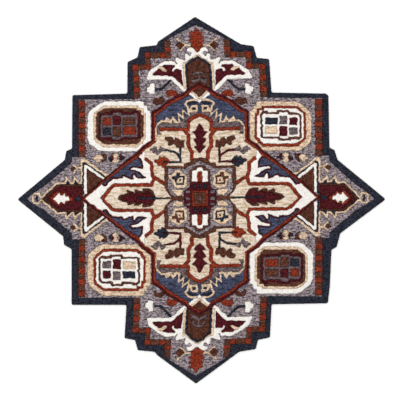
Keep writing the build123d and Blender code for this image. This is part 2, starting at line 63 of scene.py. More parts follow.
bl_info = {
    "name": "Star-shaped tufted rug",
    "version": (1, 0, 0),
    "blender": (4, 5, 0),
    "location": "View3D > Sidebar > Rug",
    "description": "Tufts, backs and lights a star-shaped wool rug on its packed layers",
    "category": "Object",
}

MM = 0.001
SEED = 41
SLOT_OF = {row["node"]: row["material_slot"] for row in frame["record"]["subparts"]}
PILE = sorted(name for name in frame["nodes"] if name.startswith("pile_"))
PILE_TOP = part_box("pile_border_navy")[1].z
PILE_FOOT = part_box("pile_border_navy")[0].z

# The colour areas of each part of the pattern
BORDER = ("border_navy",)
FIELD = ("field_heather", "field_rust_hooks", "field_brown_hooks", "field_tan_motifs",
         "check_brown", "check_rust", "small_motifs_maroon", "small_motifs_navy")
UPRIGHT_ARMS = ("arm_white", "arm_tan", "arm_brown", "arm_navy_lines", "arm_grey_scroll",
                "wing_maroon", "crown_leaf_rust")
SIDE_ARMS = ("side_tan", "side_navy", "side_white", "side_brown", "side_maroon", "side_rust")
PANELS = ("panel_white", "panel_tan", "panel_rust_ring", "panel_brown", "panel_maroon",
          "panel_grey_grid", "cell_brown", "cell_navy", "cell_maroon", "cell_grey", "cell_rust")
STAR = ("frame_maroon", "frame_rust", "star_slate", "star_white", "star_tan", "star_heather",
        "flame_maroon")
MEDALLION = ("cream_ground", "medallion_rust", "palmette_maroon", "palmette_brown", "sprig_brown",
             "sprig_grey", "sprig_rust")
CENTRE = ("centre_brown", "centre_heather", "centre_white", "centre_rust", "centre_tan",
          "centre_maroon", "centre_grey")

# Areas whose streaks run up and down the rug, where all the others' run across it
UPRIGHT_ROWS = ("side_brown",)


# ---------------------------------------------------------------- colours and settings

def linear(code):
    """sRGB hex to linear red, green and blue."""
    parts = [int(code[place:place + 2], 16) / 255 for place in (1, 3, 5)]
    return tuple(part / 12.92 if part <= 0.04045 else ((part + 0.055) / 1.055) ** 2.4
                 for part in parts)


def yarn_colour(name, code):
    """A user's colour setting for one yarn."""
    return FloatVectorProperty(name=name, description=f"Middle shade of the {name.lower()} yarn",
                               subtype="COLOR", default=linear(code), min=0, max=1)


def length(name, description, value):
    """A user's length setting, in metres."""
    return FloatProperty(name=name, description=description, default=value, unit="LENGTH",
                         precision=5)


class RugYarns(bpy.types.PropertyGroup):
    """Colours of the dyed wool yarns."""
    navy: yarn_colour("Navy", "#242630")
    heather: yarn_colour("Heather grey", "#7E7377")
    brown: yarn_colour("Brown", "#523126")
    dark_brown: yarn_colour("Dark brown", "#4B2B21")
    rust: yarn_colour("Rust", "#782D1C")
    maroon: yarn_colour("Maroon", "#441419")
    white: yarn_colour("White", "#EFEBE6")
    tan: yarn_colour("Tan", "#D3BBA2")
    cream: yarn_colour("Cream", "#D8C7B4")
    slate: yarn_colour("Slate", "#3E4154")
    steel: yarn_colour("Steel grey", "#615154")
    grey: yarn_colour("Warm grey", "#615456")


class RugSizes(bpy.types.PropertyGroup):
    """Sizes of the tufts and of the cloths under them."""
    pitch: length("Tuft spacing", "Distance from one tuft to the next", 4 * MM)
    tip_rise: length("Tip rise", "Height of a tuft's middle over its rim", 1.3 * MM)
    tip_scatter: length("Tip scatter", "How unevenly the tufts are shorn", 0.6 * MM)
    ragged: length("Ragged edge", "How far single tufts stray over a colour's edge", 1.0 * MM)
    wobble: length("Wobble", "How far the hand-guided outlines stray", 1.4 * MM)
    parting: length("Parting", "Depth of the carved parting between two colours", 2.4 * MM)
    swell: length("Swell", "Slow rise and fall of the shorn pile", 0.5 * MM)
    edge_fall: length("Edge fall", "How far the outermost tufts bend down", 5.5 * MM)
    cloth_pitch: length("Cloth grid", "Mesh spacing of the cloths under the pile", 9 * MM)
    cloth_wave: length("Cloth wave", "Unevenness of the cloths under the pile", 0.15 * MM)


class RugStage(bpy.types.PropertyGroup):
    """Floor, lights and camera."""
    floor: FloatVectorProperty(name="Floor", description="Colour of the plain floor",
                               subtype="COLOR", default=linear("#FCFCFC"), min=0, max=1)
    daylight: FloatProperty(name="Daylight",
                            description="Strength of the even light from all round",
                            default=0.84, min=0)
    softbox: FloatProperty(name="Softbox", description="Power of the softbox over the rug",
                           default=125, min=0, unit="POWER")
    height: length("Camera height", "Height of the camera over the floor", 6.0)
    view: length("View width", "Width of floor in view", 2.0)


# ---------------------------------------------------------------- plan of the tufts

TOP_DEPTH = 0.01 * MM       # triangles no further than this under a node's top are its top
SAME_PLACE = 0.001 * MM     # corners are told apart in steps of this
MARGIN = 2                  # empty cells left on each side of the rug
TINY = 1e-9                 # least value to divide by

# Shares of the grid's pitch
OUTLINE_SPACING = 0.25      # between the points along an outline
BELL_WIDTH = 0.42           # of the bell curve that weights them round a corner
LONGEST_STEP = 0.75         # that a corner goes to reach the outline

LEAST_WEIGHT = 1e-6         # of the outline points round a corner; with less it stays where it is
SMALLEST_CORNER = 0.03      # share of the pitch squared, under which a cell counts as folded

OUTERMOST_RAGGED = 0.3      # share of the ragged edge left on the rug's own edge, cut clean
UNFOLDING_ROUNDS = 8        # rounds in which folded cells are opened
STEP_KEPT = 0.6             # share of its step that a folded cell's corner keeps in each round
SPECK_ROUNDS = 2            # rounds in which missing specks are filled
CLOSED_SIDES = 3            # sides on which a missing speck has a colour beside it, at least

HAND_WAVES = 4              # waves in the hand's path along each axis
HAND_WAVE_LENGTHS = (24 * MM, 55 * MM)      # the shortest and the longest
BORDER_ROUNDS = 5           # rounds of averaging, so rows over which the wobble grows


def top_triangles(node):
    """Plan corners of a node's uppermost triangles, as an array of triangle, corner, x and y."""
    mesh = frame["nodes"][node].data
    mesh.calc_loop_triangles()
    places = np.empty(len(mesh.vertices) * 3, np.float32)
    mesh.vertices.foreach_get("co", places)
    places = places.reshape(-1, 3).astype(float)
    corners = np.empty(len(mesh.loop_triangles) * 3, np.int32)
    mesh.loop_triangles.foreach_get("vertices", corners)
    triangles = places[corners.reshape(-1, 3)]
    top = places[:, 2].max() - TOP_DEPTH
    return triangles[(triangles[:, :, 2] > top).all(axis=1)][:, :, :2]


def edges_of(triangles):
    """The three sides of each triangle, as an array of side, end, x and y."""
    return np.concatenate([triangles[:, [first, second]]
                           for first, second in ((0, 1), (1, 2), (2, 0))])


def outline_of(edges):
    """The sides that only one triangle has, which are the outline."""
    keys = np.round(edges / SAME_PLACE).astype(np.int64)
    (x0, y0), (x1, y1) = keys[:, 0].T, keys[:, 1].T
    backwards = (x0 > x1) | ((x0 == x1) & (y0 > y1))
    keys[backwards] = keys[backwards][:, ::-1]
    _, first, count = np.unique(keys.reshape(-1, 4), axis=0, return_index=True,
                                return_counts=True)
    return edges[first[count == 1]]


def inside(edges, origin, pitch, shape):
    """Which cell centres an area holds: a centre is inside where the area's sides cross its row
    an odd number of times on its left. A side that two triangles share counts twice, so it
    cancels out."""
    rows, columns = shape
    (x0, y0), (x1, y1) = edges[:, 0].T, edges[:, 1].T
    low, high = np.minimum(y0, y1), np.maximum(y0, y1)
    first = np.ceil((low - origin[1]) / pitch - 0.5).astype(int)
    last = np.ceil((high - origin[1]) / pitch - 0.5).astype(int)
    count = last - first
    side = np.repeat(np.arange(len(edges)), count)
    row = np.arange(count.sum()) - np.repeat(np.cumsum(count) - count, count) + first[side]
    height = origin[1] + (row + 0.5) * pitch
    share = (height - y0[side]) / (y1[side] - y0[side])
    crossing = x0[side] + share * (x1[side] - x0[side])
    column = np.clip(np.ceil((crossing - origin[0]) / pitch - 0.5).astype(int), 0, columns)
    flips = np.bincount(row * (columns + 1) + column, minlength=rows * (columns + 1))
    return np.cumsum(flips.reshape(rows, columns + 1), axis=1)[:, :-1] % 2 == 1


def outline_points(edges, spacing):
    """Points evenly along every side of an outline."""
    run = np.hypot(*(edges[:, 1] - edges[:, 0]).T)
    count = np.ceil(run / spacing).astype(int)
    side = np.repeat(np.arange(len(edges)), count)
    step = np.arange(count.sum()) - np.repeat(np.cumsum(count) - count, count)
    share = ((step + 0.5) / count[side])[:, None]
    return edges[side, 0] * (1 - share) + edges[side, 1] * share


def neighbours(labels):
    """The four cells round every grid corner."""
    wide = np.pad(labels, 1, constant_values=-1)
    return wide[:-1, :-1], wide[:-1, 1:], wide[1:, :-1], wide[1:, 1:]


def drawn_to_outline(corners, moving, points, origin, pitch):
    """The step that takes each moving grid corner on to the outline between two areas. It leads
    to the mean of the outline points round the corner, each weighted by a bell curve of its
    distance, and is no longer than LONGEST_STEP."""
    rows, columns = corners.shape[:2]
    place = np.round((points - origin) / pitch).astype(int)
    place = np.clip(place, 0, [columns - 1, rows - 1])
    index = place[:, 1] * columns + place[:, 0]
    count = np.bincount(index, minlength=rows * columns).reshape(rows, columns)
    sums = np.stack([np.bincount(index, points[:, axis], rows * columns).reshape(rows, columns)
                     for axis in (0, 1)], axis=-1)
    means = sums / np.maximum(count, 1)[..., None]
    total = np.zeros((rows, columns))
    target = np.zeros((rows, columns, 2))
    for up in (-1, 0, 1):
        for along in (-1, 0, 1):
            mean = np.roll(means, (up, along), (0, 1))
            found = np.roll(count, (up, along), (0, 1)) > 0
            gap = ((mean - corners) ** 2).sum(axis=-1)
            weight = found * np.exp(-gap / (BELL_WIDTH * pitch) ** 2)
            total += weight
            target += weight[..., None] * mean
    step = target / np.maximum(total, TINY)[..., None] - corners
    step[~(moving & (total > LEAST_WEIGHT))] = 0
    reach = np.hypot(step[..., 0], step[..., 1])
    return step * np.minimum(1, LONGEST_STEP * pitch / np.maximum(reach, TINY))[..., None]


def smallest_corner(corners):
    """Area of the smallest of the four triangles between each cell's middle and its sides. It is
    negative where the cell is folded over."""
    ring = np.stack([corners[:-1, :-1], corners[:-1, 1:], corners[1:, 1:], corners[1:, :-1]])
    spokes = ring - ring.mean(axis=0)
    turned = np.roll(spokes, -1, axis=0)
    doubled = spokes[..., 0] * turned[..., 1] - spokes[..., 1] * turned[..., 0]
    return (doubled / 2).min(axis=0)


def hand_drawn(places, reach):
    """How far the hand that guides the tufting tool strays at each place: four slow sine waves,
    each with its own direction and length, push the place along x and four others along y. Each
    wave is half of reach high, so together they seldom pass reach."""
    rng = np.random.default_rng(SEED + 2)
    stray = np.zeros(places.shape)
    for axis in (0, 1):
        for _ in range(HAND_WAVES):
            heading = rng.uniform(0, 2 * np.pi)
            wave = 2 * np.pi / rng.uniform(*HAND_WAVE_LENGTHS)
            along = places[..., 0] * np.cos(heading) + places[..., 1] * np.sin(heading)
            stray[..., axis] += reach / 2 * np.sin(wave * along + rng.uniform(0, 2 * np.pi))
    return stray


def inside_border(labels, border):
    """How far inside the plain border each grid corner lies: 0 at the border's inner side, which
    was tufted along a straight edge, and 1 about five rows further in. It is the share of
    patterned cells round the corner, averaged over its neighbours five times."""
    patterned = ((labels >= 0) & (labels != border)).astype(float)
    share = np.stack(neighbours(patterned)).mean(axis=0)
    for _ in range(BORDER_ROUNDS):
        for axis in (0, 1):
            share = (np.roll(share, 1, axis) + share + np.roll(share, -1, axis)) / 3
    return np.clip(2 * share - 1, 0, 1)


@lru_cache(maxsize=None)
def plan(nodes, pitch, scatter, ragged, wobble):
    """Grid of cells over the given nodes: each cell's node, every corner's place, and which
    corners lie between two areas. Those are drawn to the outline and stray from it by up to
    ragged; the others stray by up to half of scatter, a share of the pitch. Inside the border
    the whole grid wobbles with the hand."""
    rng = np.random.default_rng(SEED)
    low, high = CAD_BOX
    origin = np.array([low.x - MARGIN * pitch, low.y - MARGIN * pitch])
    columns = int((high.x - low.x) / pitch) + 2 * MARGIN + 1
    rows = int((high.y - low.y) / pitch) + 2 * MARGIN + 1
    labels = np.full((rows, columns), -1)
    points = []
    for index, node in enumerate(nodes):
        edges = edges_of(top_triangles(node))
        labels[inside(edges, origin, pitch, (rows, columns))] = index
        points.append(outline_points(outline_of(edges), OUTLINE_SPACING * pitch))
    # A missing speck inside the rug takes the colour on its left
    for _ in range(SPECK_ROUNDS):
        around = sum(np.roll(labels, way, axis) >= 0 for axis in (0, 1) for way in (1, -1))
        speck = (labels < 0) & (around >= CLOSED_SIDES)
        labels[speck] = np.roll(labels, 1, 1)[speck]
    steps = np.stack(np.meshgrid(np.arange(columns + 1), np.arange(rows + 1)), axis=-1)
    grid = steps * pitch + origin
    first, second, third, fourth = neighbours(labels)
    moving = (first != second) | (first != third) | (first != fourth)
    step = drawn_to_outline(grid, moving, np.concatenate(points), origin, pitch)
    stray = rng.random(step.shape) * 2 - 1
    outermost = np.stack(neighbours(labels)).min(axis=0) < 0
    between = np.where(outermost, OUTERMOST_RAGGED * ragged, ragged)
    reach = np.where(moving, between, 0.5 * scatter * pitch)
    step += stray * reach[..., None]
    for _ in range(UNFOLDING_ROUNDS):
        folded = smallest_corner(grid + step) < SMALLEST_CORNER * pitch ** 2
        touched = np.zeros(moving.shape, bool)
        for up in (0, 1):
            for along in (0, 1):
                touched[up:up + rows, along:along + columns] |= folded
        step[touched] *= STEP_KEPT
    if wobble:
        share = inside_border(labels, nodes.index("pile_border_navy"))
        step += hand_drawn(grid, wobble) * share[..., None]
    return labels, grid + step, moving


# ---------------------------------------------------------------- meshes

TUFT_SCATTER = 0.3          # how unevenly the tufts are set, as a share of their spacing
TIP_LEAN = 0.25             # how widely a tuft's tip leans off its middle, as the same share
PLAIN_SHADE = 0.5           # middle of a yarn's shades

# Shares of the edge's fall at the rim and at the two rows inside it
EDGE_FALL_SHARES = (1, 0.35, 0.12)

# Slow waves, each as radians per metre along x and along y and its start
SWELL_WAVES = ((9.1, 4.3, 0.7), (-6.2, 11.7, 2.1), (17.3, -8.9, 0.0))

# Cloth waves along x and along y, each as radians per metre and its start
CLOTH_WAVES = ((31, 1.3), (27, 0.4))


def closed_mesh(name, points, faces, smooth_count, shade, shade_at_parting):
    """Mesh object from an array of points and a list of face arrays. The first smooth_count faces
    are smooth. Shade gives each of them its value of the attribute yarn, and the last argument
    gives each point its value of the attribute parting, which is painted shade: the material
    darkens the colour by it where two colours part."""
    mesh = bpy.data.meshes.new(name)
    loops = np.concatenate([block.ravel() for block in faces])
    sizes = np.concatenate([np.full(len(block), block.shape[1]) for block in faces])
    mesh.vertices.add(len(points))
    mesh.vertices.foreach_set("co", points.astype(np.float32).ravel())
    mesh.loops.add(len(loops))
    mesh.loops.foreach_set("vertex_index", loops.astype(np.int32))
    mesh.polygons.add(len(sizes))
    mesh.polygons.foreach_set("loop_start", (np.cumsum(sizes) - sizes).astype(np.int32))
    mesh.polygons.foreach_set("use_smooth", np.arange(len(sizes)) < smooth_count)
    values = np.full(len(sizes), PLAIN_SHADE, np.float32)
    values[:smooth_count] = shade
    mesh.update(calc_edges=True)
    mesh.attributes.new("yarn", "FLOAT", "FACE").data.foreach_set("value", values)
    # The attribute parting holds painted shade, which the material turns into darker colour between
    # two colours
    partings = mesh.attributes.new("parting", "FLOAT", "POINT")
    partings.data.foreach_set("value", shade_at_parting.astype(np.float32))
    if mesh.validate():
        raise RuntimeError(f"{name} has faces that Blender had to repair")
    piece = bpy.data.objects.new(name, mesh)
    bpy.context.scene.collection.objects.link(piece)
    return piece


def cell_corners(cells, columns):
    """Numbers of the four grid corners of each cell, anticlockwise from the lower left."""
    row, column = cells
    lower_left = row * (columns + 1) + column
    upper_left = lower_left + columns + 1
    return np.stack([lower_left, lower_left + 1, upper_left + 1, upper_left], axis=1)


def walls(labels, index, cells, corners):
    """Sides of the cells whose neighbour isn't in the same area, as pairs of corners,
    anticlockwise."""
    wide = np.pad(labels, 1, constant_values=-1)
    row, column = cells
    found = []
    for side, (up, along) in enumerate(((-1, 0), (0, 1), (1, 0), (0, -1))):
        open_side = wide[row + 1 + up, column + 1 + along] != index
        found.append(corners[open_side][:, [side, (side + 1) % 4]])
    return np.concatenate(found)


def slab_of_cells(name, nodes, index, layout, tops, tips, foot, shade):
    """Closed slab over one area's cells. Its upper surface has a point at every grid corner and
    one at every cell's middle; its underside is the same grid at the foot's height, and walls
    join the two at the rim."""
    labels, places, parted = layout
    columns = labels.shape[1]
    cells = np.nonzero(labels == index)
    if not len(cells[0]):
        raise RuntimeError(f"{nodes[index]} holds no tuft")
    corners = cell_corners(cells, columns)
    rim = walls(labels, index, cells, corners)
    used, flat = np.unique(corners, return_inverse=True)
    flat = flat.reshape(corners.shape)
    rim = np.searchsorted(used, rim)
    plan_places = places.reshape(-1, 2)[used]
    upper = np.column_stack([plan_places, tops.ravel()[used]])
    lower = np.column_stack([plan_places, foot.ravel()[used]])
    count = len(used)
    middle = count + np.arange(len(corners))
    bottom = count + len(corners)
    slopes = np.concatenate([np.column_stack([flat[:, side], flat[:, (side + 1) % 4], middle])
                             for side in range(4)])
    under = bottom + flat[:, ::-1]
    sides = np.column_stack([bottom + rim[:, 0], bottom + rim[:, 1], rim[:, 1], rim[:, 0]])
    # Painted shade: corners on a parting between two colours get 1 in the attribute parting and the
    # tuft tips get 0, and the material darkens the colour by it
    rims = parted.ravel()[used].astype(float)
    shade_at_parting = np.concatenate([rims, np.zeros(len(corners)), rims])
    points = np.concatenate([upper, tips[cells], lower])
    return closed_mesh(name, points, [slopes, under, sides], len(slopes),
                       np.tile(shade[cells], 4), shade_at_parting)


@lru_cache(maxsize=None)
def shorn_pile(nodes, pitch, ragged, wobble, tip_rise, tip_scatter, parting, swell, edge_fall):
    """Heights of the shorn pile, with the plan and each tuft's shade. The rims lie under the
    pile's top by a tip's rise, and the middles stand up to it. Slow sine waves lift and lower
    both, partings between colours are lower, and the rug's rim and the two rows of corners
    inside it bend down."""
    layout = plan(nodes, pitch, TUFT_SCATTER, ragged, wobble)
    labels, places, parted = layout
    rng = np.random.default_rng(SEED + 1)
    x, y = places[..., 0], places[..., 1]
    wave = sum(np.sin(turn_x * x + turn_y * y + start) for turn_x, turn_y, start in SWELL_WAVES)
    tops = PILE_TOP - tip_rise - swell + swell * wave / len(SWELL_WAVES)
    tops -= parting * parted
    bare = np.stack(neighbours(labels)).min(axis=0) < 0
    for share in EDGE_FALL_SHARES:
        tops[bare] = np.minimum(tops[bare], PILE_TOP - tip_rise - share * edge_fall)
        spread = bare.copy()
        spread[1:] |= bare[:-1]
        spread[:-1] |= bare[1:]
        bare = spread | np.roll(spread, 1, 1) | np.roll(spread, -1, 1)
    ring = np.stack([places[:-1, :-1], places[:-1, 1:], places[1:, 1:], places[1:, :-1]])
    rims = np.stack([tops[:-1, :-1], tops[:-1, 1:], tops[1:, 1:], tops[1:, :-1]])
    middles = ring.mean(axis=0) + (rng.random(labels.shape + (2,)) - 0.5) * TIP_LEAN * pitch
    heights = rims.mean(axis=0) + tip_rise + (rng.random(labels.shape) - 0.5) * 2 * tip_scatter
    heights = np.minimum(heights, PILE_TOP)
    tips = np.concatenate([middles, heights[..., None]], axis=-1)
    return layout, tops, tips, np.full(tops.shape, PILE_FOOT), rng.random(labels.shape)


def finished(piece, node, material):
    """Gives a piece its material, in its first slot, and its body, and hides the CAD node that it
    stands for.
    """
    piece.data.materials.append(material)
    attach(piece, "root")
    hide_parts(node)
    return piece


def tuft(context, areas):
    """The pile of each named colour area."""
    sizes = context.scene.rug_sizes
    layout, tops, tips, foot, shade = shorn_pile(
        tuple(PILE), sizes.pitch, sizes.ragged, sizes.wobble, sizes.tip_rise, sizes.tip_scatter,
        sizes.parting, sizes.swell, sizes.edge_fall)
    for area in areas:
        node = "pile_" + area
        piece = slab_of_cells("tufts_" + area, PILE, PILE.index(node), layout, tops, tips, foot,
                              shade)
        finished(piece, node, yarn(context, SLOT_OF[node], area in UPRIGHT_ROWS))
    return {"FINISHED"}


def cloth(context, name, node, material):
    """Flat layer under the pile: a closed sheet over the node's cells. Its upper face sinks by up
    to the cloth's wave, as the product of a sine wave along x and one along y, and its underside
    is flat."""
    sizes = context.scene.rug_sizes
    layout = plan((node,), sizes.cloth_pitch, scatter=0.0, ragged=0.0, wobble=0.0)
    labels, places, _ = layout
    low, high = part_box(node)
    x, y = places[..., 0], places[..., 1]
    (turn_x, start_x), (turn_y, start_y) = CLOTH_WAVES
    wave = np.sin(turn_x * x + start_x) * np.sin(turn_y * y + start_y)
    tops = high.z - (wave + 1) / 2 * sizes.cloth_wave
    ring = np.stack([places[:-1, :-1], places[:-1, 1:], places[1:, 1:], places[1:, :-1]])
    heights = (tops[:-1, :-1] + tops[1:, 1:]) / 2
    tips = np.concatenate([ring.mean(axis=0), heights[..., None]], axis=-1)
    foot = np.full(tops.shape, low.z)
    shade = np.full(labels.shape, PLAIN_SHADE)
    piece = slab_of_cells(name, (node,), 0, layout, tops, tips, foot, shade)
    return finished(piece, node, material)


# ---------------------------------------------------------------- materials

# The mixed noise seldom leaves the middle of its range, so a yarn's darkest and lightest shades
# stand close to it
YARN_DARKEST, YARN_MIDDLE, YARN_LIGHTEST = 0.41, 0.5, 0.59
PAINTED_PARTING_SHADE = 0.42        # share of a black yarn's colour left by the painted shade where two colours part
PAINTED_SHADE_PALE_RELIEF = 0.4           # how much more of it a white yarn keeps under that painted shade
WAVE_PERIOD = 0.314         # length of one band of the wave texture at a scale of 1, in metres


def add(tree, kind, links=None, **settings):
    """Adds a node, sets its properties, and its sockets by settings that start with in_ and go on
    with the socket's name or number, and links its inputs."""
    node = tree.nodes.new(kind)
    for key, value in settings.items():
        if key.startswith("in_"):
            socket = key.removeprefix("in_").replace("_", " ")
            node.inputs[int(socket) if socket.isdigit() else socket].default_value = value
        else:
            setattr(node, key, value)
    for key, source in (links or {}).items():
        tree.links.new(source, node.inputs[key])
    return node


def new_material(name):
    """Empty node material."""
    material = bpy.data.materials.new(name)
    material.use_nodes = True
    material.node_tree.nodes.clear()
    return material, material.node_tree


def shade_of(colour, factor):
    """A lighter or darker shade of a linear colour."""
    return tuple(np.minimum(1.0, np.multiply(colour, factor))) + (1.0,)


# Each yarn: its setting, how the wool was dyed, its darkest and lightest shade as shares of the
# middle one, how much of the variation lies in streaks along the rows of tufts rather than in
# single tufts, and a streak's length and width in millimetres. A row of tufts is 4 mm wide, and
# is drawn at least 7 mm wide because single rows are too fine to show
YARNS = {
    "wool_navy": ("navy", "vat_dyed", 0.45, 2.2, 0.4, 15, 7),
    "wool_heather": ("heather", "blended_before_spinning", 0.2, 2.1, 0.55, 20, 7),
    "wool_brown": ("brown", "vat_dyed", 0.5, 1.9, 0.4, 15, 7),
    "wool_dark_brown": ("dark_brown", "vat_dyed", 0.5, 1.9, 0.5, 25, 7),
    "wool_rust": ("rust", "vat_dyed", 0.5, 1.8, 0.4, 15, 7),
    "wool_maroon": ("maroon", "vat_dyed", 0.5, 2.0, 0.4, 15, 7),
    "wool_white": ("white", "scoured", (0.86, 0.83, 0.78), 1.06, 0.4, 20, 7),
    "wool_tan": ("tan", "pot_dyed", (0.62, 0.52, 0.42), 1.35, 0.5, 25, 8),
    "wool_cream": ("cream", "pot_dyed", (0.7, 0.58, 0.43), (1.2, 1.24, 1.3), 0.62, 50, 10),
    "wool_slate": ("slate", "blended_before_spinning", (0.42, 0.42, 0.45), (1.8, 1.9, 2.0),
                   0.6, 40, 8),
    "wool_steel": ("steel", "blended_before_spinning", 0.45, 1.6, 0.5, 20, 7),
    "wool_grey": ("grey", "blended_before_spinning", 0.35, 2.0, 0.5, 20, 7),
}


@lru_cache(maxsize=None)
def yarn(context, slot, upright):
    """Cut pile of dyed wool. Matt and slightly downy, in shades that run in streaks along the rows
    of tufts, with painted shade where two colours part."""
    setting, dyeing, dark, light, streaky, streak, width = YARNS[slot]
    colour = tuple(getattr(context.scene.rug_yarns, setting))
    direction = "_upright_rows" if upright else ""
    material, tree = new_material(f"cut_pile_wool_{setting}_{dyeing}{direction}")
    row, run = 1 / (width * MM), 1 / (streak * MM)
    where = add(tree, "ShaderNodeTexCoord")
    stretch = (row, run, 1.0) if upright else (run, row, 1.0)
    rows = add(tree, "ShaderNodeMapping", {0: where.outputs["Object"]}, in_Scale=stretch)
    streaks = add(tree, "ShaderNodeTexNoise", {"Vector": rows.outputs[0]}, in_Scale=1.0,
                  in_Detail=2.0, in_Roughness=0.6)
    # Single tufts, 4 mm apart, drawn in flecks of about 8 mm so that they show
    flecks = add(tree, "ShaderNodeTexNoise", {"Vector": where.outputs["Object"]},
                 in_Scale=1 / (8 * MM), in_Detail=2.0, in_Roughness=0.7)
    single = add(tree, "ShaderNodeAttribute", attribute_name="yarn")
    tufts = add(tree, "ShaderNodeMix", {2: flecks.outputs[0], 3: single.outputs["Fac"]},
                in_Factor=0.3)
    mixed = add(tree, "ShaderNodeMix", {2: tufts.outputs[0], 3: streaks.outputs[0]},
                in_Factor=streaky)
    ramp = add(tree, "ShaderNodeValToRGB", {0: mixed.outputs[0]})
    ramp.color_ramp.elements[0].position = YARN_DARKEST
    ramp.color_ramp.elements[0].color = shade_of(colour, dark)
    ramp.color_ramp.elements[1].position = YARN_LIGHTEST
    ramp.color_ramp.elements[1].color = shade_of(colour, light)
    middle = ramp.color_ramp.elements.new(YARN_MIDDLE)
    middle.color = shade_of(colour, 1.0)
    # Wool fibre ends, a few hundredths of a millimetre, drawn as 2 mm grain
    grain = add(tree, "ShaderNodeTexNoise", {"Vector": where.outputs["Object"]},
                in_Scale=1 / (2 * MM), in_Detail=3.0, in_Roughness=0.7)
    rough = add(tree, "ShaderNodeMapRange", {0: grain.outputs[0]}, in_3=0.85, in_4=1.0)
    bump = add(tree, "ShaderNodeBump", {"Height": grain.outputs[0]}, in_Strength=0.5,
               in_Distance=0.8 * MM)
    # Painted shade: where two colours part, the attribute parting darkens the colour, standing in
    # for the shaded sides of the tufts in the carved groove
    parting = add(tree, "ShaderNodeAttribute", attribute_name="parting")
    pale = sum(colour) / 3
    painted_shade_factor = add(tree, "ShaderNodeMapRange", {0: parting.outputs["Fac"]}, in_3=1.0,
              in_4=PAINTED_PARTING_SHADE + PAINTED_SHADE_PALE_RELIEF * pale)
    shaded = add(tree, "ShaderNodeVectorMath", {0: ramp.outputs[0], "Scale": painted_shade_factor.outputs[0]},
                 operation="SCALE")
    shader = add(tree, "ShaderNodeBsdfPrincipled",
                 {"Base Color": shaded.outputs[0], "Roughness": rough.outputs[0],
                  "Normal": bump.outputs[0]},
                 in_Sheen_Weight=0.015, in_Sheen_Roughness=0.5, in_Specular_IOR_Level=0.06)
    add(tree, "ShaderNodeOutputMaterial", {0: shader.outputs[0]})
    return material


def woven(name, code, hollow_shade_and_slub_code, thread, twill):
    """Woven cotton or jute. Matt, with a fine ribbed check where threads pass over and under: the
    product of two crossed waves, one of them slanted in a twill. The colour is darker in the
    hollows between threads, as painted shade, and it also varies with the thick and thin stretches
    of yarn."""
    material, tree = new_material(name)
    where = add(tree, "ShaderNodeTexCoord")
    turned = add(tree, "ShaderNodeMapping", {0: where.outputs["Object"]},
                 in_Rotation=(0, 0, np.pi / 4 if twill else 0))
    # One wave for each thread
    warp = add(tree, "ShaderNodeTexWave", {0: turned.outputs[0]}, bands_direction="X",
               in_Scale=WAVE_PERIOD / thread, in_Distortion=0.6)
    weft = add(tree, "ShaderNodeTexWave", {0: where.outputs["Object"]}, bands_direction="Y",
               in_Scale=WAVE_PERIOD / thread, in_Distortion=0.6)
    both = add(tree, "ShaderNodeMath", {0: warp.outputs["Fac"], 1: weft.outputs["Fac"]},
               operation="MULTIPLY")
    # Thick and thin stretches of yarn, about 30 mm long
    slub = add(tree, "ShaderNodeTexNoise", {0: where.outputs["Object"]}, in_Scale=1 / (30 * MM),
               in_Detail=3.0)
    height = add(tree, "ShaderNodeMix", {2: both.outputs[0], 3: slub.outputs[0]}, in_Factor=0.3)
    # Painted shade: the colour runs from the darker code where the threads dip, in the hollows of
    # the weave, to the lighter one on their crowns, mixed with the slubs' own tone
    ramp = add(tree, "ShaderNodeValToRGB", {0: height.outputs[0]})
    ramp.color_ramp.elements[0].position = 0.1
    ramp.color_ramp.elements[0].color = linear(hollow_shade_and_slub_code) + (1.0,)
    ramp.color_ramp.elements[1].position = 0.6
    ramp.color_ramp.elements[1].color = linear(code) + (1.0,)
    rough = add(tree, "ShaderNodeMapRange", {0: slub.outputs[0]}, in_3=0.8, in_4=0.95)
    bump = add(tree, "ShaderNodeBump", {"Height": both.outputs[0]}, in_Strength=0.5,
               in_Distance=0.4 * MM)
    shader = add(tree, "ShaderNodeBsdfPrincipled",
                 {"Base Color": ramp.outputs[0], "Roughness": rough.outputs[0],
                  "Normal": bump.outputs[0]}, in_Specular_IOR_Level=0.3)
    add(tree, "ShaderNodeOutputMaterial", {0: shader.outputs[0]})
    return material


def dried_latex():
    """Latex spread with a blade and dried: dull straw colour, uneven, with soft ridges."""
    material, tree = new_material("latex_knife_coated_dried")
    where = add(tree, "ShaderNodeTexCoord")
    # Ridges about 15 mm apart where the blade dragged
    ridges = add(tree, "ShaderNodeTexNoise", {0: where.outputs["Object"]},
                 in_Scale=1 / (15 * MM), in_Detail=4.0)
    ramp = add(tree, "ShaderNodeValToRGB", {0: ridges.outputs[0]})
    ramp.color_ramp.elements[0].position = 0.35
    ramp.color_ramp.elements[0].color = linear("#B7AA8C") + (1.0,)
    ramp.color_ramp.elements[1].position = 0.65
    ramp.color_ramp.elements[1].color = linear("#D2C8AF") + (1.0,)
    rough = add(tree, "ShaderNodeMapRange", {0: ridges.outputs[0]}, in_3=0.5, in_4=0.75)
    bump = add(tree, "ShaderNodeBump", {"Height": ridges.outputs[0]}, in_Strength=0.4,
               in_Distance=0.5 * MM)
    shader = add(tree, "ShaderNodeBsdfPrincipled",
                 {"Base Color": ramp.outputs[0], "Roughness": rough.outputs[0],
                  "Normal": bump.outputs[0]})
    add(tree, "ShaderNodeOutputMaterial", {0: shader.outputs[0]})
    return material


